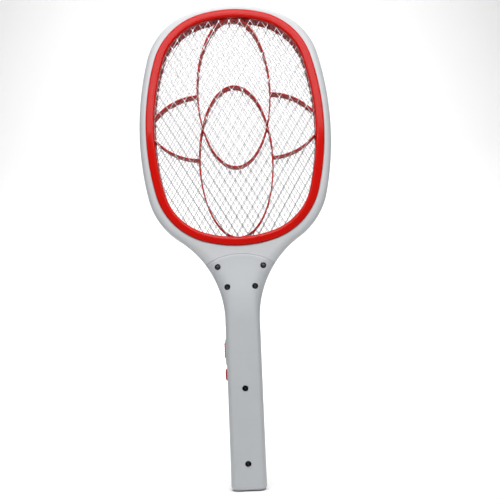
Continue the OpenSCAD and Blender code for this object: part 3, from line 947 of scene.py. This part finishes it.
def net_tree(strand, knot):
    """Sets a strand or a knot on every point, each turned and stretched as its point says."""
    tree = bpy.data.node_groups.new("expanded_net", "GeometryNodeTree")
    face = tree.interface
    face.new_socket("Geometry", in_out="INPUT", socket_type="NodeSocketGeometry")
    tilt = face.new_socket("Tilt", in_out="INPUT", socket_type="NodeSocketFloat")
    seed = face.new_socket("Seed", in_out="INPUT", socket_type="NodeSocketInt")
    metal = face.new_socket("Metal", in_out="INPUT", socket_type="NodeSocketMaterial")
    face.new_socket("Geometry", in_out="OUTPUT", socket_type="NodeSocketGeometry")
    node, link = tree.nodes.new, tree.links.new
    start, end = node("NodeGroupInput"), node("NodeGroupOutput")

    def stored(name):
        n = node("GeometryNodeInputNamedAttribute")
        n.data_type = "FLOAT"
        n.inputs["Name"].default_value = name
        return n.outputs["Attribute"]

    wobble = node("FunctionNodeRandomValue")
    wobble.data_type = "FLOAT"
    wobble.inputs[2].default_value, wobble.inputs[3].default_value = -WOBBLE, WOBBLE
    link(start.outputs["Seed"], wobble.inputs["Seed"])
    tilted = node("ShaderNodeMath")
    tilted.operation = "MULTIPLY_ADD"
    link(stored("lean"), tilted.inputs[0])
    link(start.outputs["Tilt"], tilted.inputs[1])
    link(wobble.outputs[1], tilted.inputs[2])

    turn = node("ShaderNodeCombineXYZ")
    link(tilted.outputs[0], turn.inputs["X"])
    link(stored("turn"), turn.inputs["Y"])
    size = node("ShaderNodeCombineXYZ")
    size.inputs["Y"].default_value = size.inputs["Z"].default_value = 1
    link(stored("length"), size.inputs["X"])

    joined = node("GeometryNodeJoinGeometry")
    for source, test in ((strand, "NOT_EQUAL"), (knot, "EQUAL")):
        info = node("GeometryNodeObjectInfo")
        info.inputs["Object"].default_value = source
        chosen = node("FunctionNodeCompare")
        chosen.data_type, chosen.operation = "FLOAT", test
        link(stored("lean"), chosen.inputs[0])
        chosen.inputs[1].default_value = 0
        put = node("GeometryNodeInstanceOnPoints")
        link(start.outputs["Geometry"], put.inputs["Points"])
        link(chosen.outputs[0], put.inputs["Selection"])
        link(info.outputs["Geometry"], put.inputs["Instance"])
        link(turn.outputs[0], put.inputs["Rotation"])
        link(size.outputs[0], put.inputs["Scale"])
        link(put.outputs[0], joined.inputs[0])
    real = node("GeometryNodeRealizeInstances")
    link(joined.outputs[0], real.inputs[0])
    coat = node("GeometryNodeSetMaterial")
    link(real.outputs[0], coat.inputs["Geometry"])
    link(start.outputs["Metal"], coat.inputs["Material"])
    link(coat.outputs[0], end.inputs[0])
    return tree, {"tilt": tilt.identifier, "seed": seed.identifier, "metal": metal.identifier}


half_w, half_t = 0.95 * STRAND_W / 2, 0.9 * NET_T / 2
STRAND = strand_mesh("strand", [(x, half_w, half_t) for x in (-0.5, -0.42, -0.2, 0.2, 0.42, 0.5)])
KNOT = strand_mesh("knot", [(-1.5, 0.3, half_t), (-1.1, 0.55, half_t), (-0.4, 0.66, half_t),
                            (0.4, 0.66, half_t), (1.1, 0.55, half_t), (1.5, 0.3, half_t)])
NET_TREE, NET_INPUTS = net_tree(STRAND, KNOT)


def net(node, depth, shift, edge, seed, tilt, finish="net_metal"):
    places, turns, lengths, leans = zip(*net_points(shift, edge))
    mesh = bpy.data.meshes.new(node + "_points")
    mesh.from_pydata([(x * MM, depth * MM, z * MM) for x, z in places], [], [])
    for name, values in (("turn", turns), ("length", lengths), ("lean", leans)):
        attribute = mesh.attributes.new(name, "FLOAT", "POINT")
        attribute.data.foreach_set("value", np.array(values, np.float32))
    obj = bpy.data.objects.new("metal_" + node, mesh)
    bpy.context.scene.collection.objects.link(obj)
    mod = obj.modifiers.new("net", "NODES")
    mod.node_group = NET_TREE
    mod[NET_INPUTS["tilt"]] = tilt
    mod[NET_INPUTS["seed"]] = seed
    mod[NET_INPUTS["metal"]] = FINISH[finish]
    finished(obj)
    smooth(obj, 40)
    paint(obj, finish, RACKET)
    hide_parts(node)


# The rear net takes the metal painted dark as shade, the centre and front nets the metal painted light
net("rear_net", -NET_GAP, NET_SHIFT, OUTER_EDGE, 3, 0.5)
net("centre_net", 0, NET_SHIFT + DIAMOND[0] / 2, CENTRE_EDGE, 5, 0.95, "net_bright")
net("front_net", NET_GAP, NET_SHIFT, OUTER_EDGE, 8, 0.95, "net_bright")
for pattern in (STRAND, KNOT):
    bpy.data.objects.remove(pattern)


# ---------------------------------------------------------------- screws
def screw():
    """A round-headed screw with a cross recess, its head's seat at the origin, along +Y."""
    sheet = Sheet()
    head = [(0, -2.0), (0.9, -2.0), (1.6, -1.92), (2.2, -1.6), (2.6, -1.05), (2.7, -0.5), (2.6, 0),
            (1.4, 0)]
    thread = []
    for k in range(16):
        y = 0.6 + k * 0.6
        thread += [(1.12, y), (1.4, y + 0.25)]
    lathe(sheet, (0, 0, 0), "y", head + thread + [(0.9, 10.4), (0, 11)], 40)
    obj = sheet.object("screw")
    cross = Sheet()
    for wide, deep in ((1.6, 0.38), (0.38, 1.6)):
        rows = []
        for y, g in ((-3, 0), (-3, 1), (-1.9, 1), (-0.85, 0.55), (-0.85, 0)):
            x, z = wide * g, deep * g
            rows.append([(x, y, z), (-x, y, z), (-x, y, -z), (x, y, -z)])
        cross.grid(rows, closed=True)
    carve(obj, cross.object("cross"))
    return obj


def screw_tree(pattern):
    """Sets the pattern on every point, turned by its own amount about the screw's axis."""
    tree = bpy.data.node_groups.new("screw_set", "GeometryNodeTree")
    face = tree.interface
    face.new_socket("Geometry", in_out="INPUT", socket_type="NodeSocketGeometry")
    seed = face.new_socket("Seed", in_out="INPUT", socket_type="NodeSocketInt")
    metal = face.new_socket("Metal", in_out="INPUT", socket_type="NodeSocketMaterial")
    face.new_socket("Geometry", in_out="OUTPUT", socket_type="NodeSocketGeometry")
    node, link = tree.nodes.new, tree.links.new
    start, end = node("NodeGroupInput"), node("NodeGroupOutput")
    angle = node("FunctionNodeRandomValue")
    angle.data_type = "FLOAT"
    angle.inputs[2].default_value, angle.inputs[3].default_value = 0, math.pi / 2
    link(start.outputs["Seed"], angle.inputs["Seed"])
    turn = node("ShaderNodeCombineXYZ")
    link(angle.outputs[1], turn.inputs["Y"])
    info = node("GeometryNodeObjectInfo")
    info.inputs["Object"].default_value = pattern
    put = node("GeometryNodeInstanceOnPoints")
    link(start.outputs["Geometry"], put.inputs["Points"])
    link(info.outputs["Geometry"], put.inputs["Instance"])
    link(turn.outputs[0], put.inputs["Rotation"])
    real = node("GeometryNodeRealizeInstances")
    link(put.outputs[0], real.inputs[0])
    coat = node("GeometryNodeSetMaterial")
    link(real.outputs[0], coat.inputs["Geometry"])
    link(start.outputs["Metal"], coat.inputs["Material"])
    link(coat.outputs[0], end.inputs[0])
    return tree, seed.identifier, metal.identifier


def screws():
    """The six cover screws, each turned its own way."""
    pattern = screw()
    pattern.hide_render = True
    mesh = bpy.data.meshes.new("screw_points")
    mesh.from_pydata([(x * MM, SEAT_Y * MM, z * MM) for x, z in SCREWS], [], [])
    obj = bpy.data.objects.new("cover_screw_set", mesh)
    bpy.context.scene.collection.objects.link(obj)
    mod = obj.modifiers.new("screws", "NODES")
    tree, seed, metal = screw_tree(pattern)
    mod.node_group = tree
    mod[seed] = 11
    mod[metal] = FINISH["screw_steel"]
    finished(obj)
    bpy.data.objects.remove(pattern)
    smooth(obj, 30)
    paint(obj, "screw_steel", RACKET)
    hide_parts("cover_screws")


screws()


# ---------------------------------------------------------------- controls
def knob():
    """The slide switch's knob: ridged on top, with its guard plate and driving tongue."""
    x0 = -GRIP_W / 2 - KNOB_PROUD
    inner = -GRIP_W / 2 + WALL + FIT + 0.3
    z0, z1 = KNOB_Z
    edge, end_fall, ridge_h, plain, ridges, levels = 0.8, 0.9, 0.45, 1.6, 6, 136
    pitch = (z1 - z0 - 2 * plain) / ridges
    rows = []
    for k in range(levels + 1):
        z = z0 + (z1 - z0) * k / levels
        from_end = min(z - z0, z1 - z)
        top = x0 + ridge_h + end_fall * (1 - ease(from_end / 1.2))
        if from_end > plain:
            top -= ridge_h * (0.5 - 0.5 * math.cos(2 * math.pi * (z - z0 - plain) / pitch))
        half = []
        for step in range(5):
            a = math.radians(22.5 * step)
            half.append((top + edge * (1 - math.sin(a)), KNOB_Y - edge * (1 - math.cos(a)), z))
        half += [(top, t * KNOB_Y, z) for t in (0.66, 0.22)]
        row = [(inner, KNOB_Y, z)] + half
        rows.append([(x, -y, z) for x, y, z in row] + row[::-1])
    sheet = Sheet()
    ends = [[tuple(np.mean(rows[i], 0))] * len(rows[i]) for i in (0, -1)]
    sheet.grid([ends[0]] + rows + [ends[1]], closed=True)
    obj = sheet.object("slide_switch_knob")
    extra = Sheet()
    face = -GRIP_W / 2 + WALL + FIT
    block(extra, (face, -PLATE_Y, PLATE_Z[0]), (face + PLATE_T, PLATE_Y, PLATE_Z[1]))
    carve(obj, extra.object("plate"), "UNION")
    extra = Sheet()
    block(extra, (face + PLATE_T - 0.1, -1.5, TONGUE_Z[0]), (face + 6.3, 1.5, TONGUE_Z[1]))
    carve(obj, extra.object("tongue"), "UNION")
    smooth(obj, 35)
    paint(obj, "control_red", KNOB)
    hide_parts("slide_knob")


def button():
    """The domed push button, with its flange behind the wall and the stem for its spring."""
    x0 = -GRIP_W / 2 - BUTTON_PROUD
    face = -GRIP_W / 2 + WALL + FIT
    dome = [(0, -BUTTON_Y), (0, -3.2), (0.04, -2.4), (0.16, -1.6), (0.36, -0.9), (0.66, -0.4),
            (1.05, -0.1), (1.5, 0)]
    root = face + 0.5
    xs = [x0 + x for x, _ in dome] + [root, root]
    grow = [g for _, g in dome] + [0, -BUTTON_Y]
    sheet = Sheet()
    sheet.grid(obround_rows(BUTTON_Y, *BUTTON_Z, xs, grow, 16), closed=True)
    obj = sheet.object("push_button_cap")
    extra = Sheet()
    block(extra, (face, -FLANGE_Y, BUTTON_Z[0]), (face + FLANGE_T, FLANGE_Y, BUTTON_Z[1]))
    carve(obj, extra.object("flange"), "UNION")
    extra = Sheet()
    stem = [(0, 1.1), (1.3, 1.1), (1.3, 5.0), (1.1, 5.2), (0, 5.2)]
    lathe(extra, (face, 0, BUTTON_MID), "x", stem, 24)
    carve(obj, extra.object("stem"), "UNION")
    smooth(obj, 35)
    paint(obj, "control_red", BUTTON)
    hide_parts("push_button")


def spring():
    """The button's return spring: a coil with closed ends."""
    near, far = -GRIP_W / 2 + WALL + FIT + FLANGE_T + 0.3, SPRING_END
    radius, wire, turns, steps = 2.1, 0.2, 5, 20
    mid = BUTTON_MID
    rows = []
    for k in range(turns * steps + 1):
        a = 2 * math.pi * k / steps
        along = ease(k / (turns * steps))
        row = []
        for i in range(8):
            b = math.pi / 4 * i
            from_axis = radius + wire * math.cos(b)
            x = near + (far - near) * along + wire * math.sin(b)
            row.append((x, from_axis * math.cos(a), mid + from_axis * math.sin(a)))
        rows.append(row)
    ends = [[tuple(np.mean(rows[i], 0))] * 8 for i in (0, -1)]
    sheet = Sheet()
    sheet.grid([ends[0]] + rows + [ends[1]], closed=True)
    obj = sheet.object("button_return_spring")
    smooth(obj, 40)
    paint(obj, "spring_steel", RACKET)
    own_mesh(obj)
    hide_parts("push_spring")


knob()
button()
spring()


# ---------------------------------------------------------------- parts taken over as they are
for node, finish in {
    "charge_light": "lamp_red", "slide_switch": "switch_metal",
    "push_switch": "black_plastic", "circuit_board": "board_green", "transformer_core": "ferrite",
    "transformer_bobbin": "black_plastic", "transformer_winding": "copper_wire",
    "high_voltage_capacitor": "capacitor_brown", "charging_capacitor": "capacitor_orange",
    "multiplier_capacitors": "capacitor_blue", "multiplier_diodes": "black_plastic",
    "resistors": "resistor_tan", "transistor": "black_plastic", "battery_cells": "cell_green",
    "battery_tabs": "switch_metal", "battery_leads": "lead_plastic",
    "centre_net_lead": "lead_plastic", "outer_net_lead": "black_plastic",
    "plug_carriage": "black_plastic", "plug_blades": "brass_plated",
    "plug_thumb_slider": "black_plastic", "plug_contacts": "brass_plated",
    "plug_leads": "lead_plastic",
}.items():
    paint(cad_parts[node], finish)


# ---------------------------------------------------------------- room, light and camera
def stage_material(name, shade):
    mat = bpy.data.materials.new(name)
    mat.use_nodes = True
    shader = mat.node_tree.nodes["Principled BSDF"]
    shader.inputs["Base Color"].default_value = (shade, shade, shade, 1)
    shader.inputs["Roughness"].default_value = 0.9
    shader.inputs["Specular IOR Level"].default_value = 0.1
    return mat


def sweep_stage():
    """A pale floor that curves up into a wall behind."""
    half, front, back, radius, top = 2200, -2600, 1500, 700, 2600
    level = -1.0
    profile = [(y, level) for y in (front, -400, 0, back - radius)]
    for k in range(1, 17):
        a = math.radians(90 * k / 16)
        profile.append((back - radius * (1 - math.sin(a)), level + radius * (1 - math.cos(a))))
    profile.append((back, top))
    verts = [(x, y, z) for y, z in profile for x in (-half, half)]
    faces = [(2 * k, 2 * k + 1, 2 * k + 3, 2 * k + 2) for k in range(len(profile) - 1)]
    mesh = bpy.data.meshes.new("floor")
    mesh.from_pydata([tuple(c * MM for c in v) for v in verts], [], faces)
    mesh.shade_smooth()
    mesh.materials.append(stage_material("pale_paper", 0.92))
    floor = bpy.data.objects.new("floor", mesh)
    bpy.context.scene.collection.objects.link(floor)


def soft_light(name, place, aim, size, power, spread=180, depth=None):
    data = bpy.data.lights.new(name, "AREA")
    data.shape, data.size, data.size_y, data.energy = "RECTANGLE", size, depth or size, power
    data.spread = math.radians(spread)
    light = bpy.data.objects.new(name, data)
    light.location = place
    light.rotation_euler = (Vector(aim) - Vector(place)).to_track_quat("-Z", "Y").to_euler()
    bpy.context.scene.collection.objects.link(light)
    return light


sweep_stage()
world = bpy.data.worlds.new("studio")
world.use_nodes = True
world.node_tree.nodes["Background"].inputs["Color"].default_value = (1, 1, 1, 1)
world.node_tree.nodes["Background"].inputs["Strength"].default_value = 0.12
bpy.context.scene.world = world
HEAD = (0, 0, 0.36)
soft_light("key", (0, -0.75, 0.8), HEAD, 1.1, 3.9, 90, depth=0.5)
soft_light("overhead", (0.2, -0.2, 1.4), (0.2, -0.19, 0), 2.2, 3, depth=1.0)
soft_light("wall_wash", (0, 0.45, 1.7), (0, 1.1, 0.45), 1.6, 17, 110)
bpy.context.scene.view_settings.view_transform = "Standard"

# The camera looks slightly upwards, and leans so that the head tips to the left
DISTANCE, PITCH, LEAN, FIELD = 0.880, math.radians(6.5), math.radians(2.37), 0.510
TARGET = Vector((0.01026, 0, 0.23698))
SENSOR = 36.0
sight = Vector((0, math.cos(PITCH), math.sin(PITCH)))
camera_data = bpy.data.cameras.new("camera")
camera_data.sensor_width = camera_data.sensor_height = SENSOR
camera_data.lens = SENSOR * DISTANCE / FIELD
camera_data.clip_start, camera_data.clip_end = 0.01, 20
camera = bpy.data.objects.new("camera", camera_data)
bpy.context.scene.collection.objects.link(camera)
camera.rotation_mode = "QUATERNION"
upright = sight.to_track_quat("-Z", "Y")
camera.location = TARGET - sight * DISTANCE
camera.rotation_quaternion = upright @ Matrix.Rotation(-LEAN, 3, "Z").to_quaternion()
bpy.context.scene.camera = camera
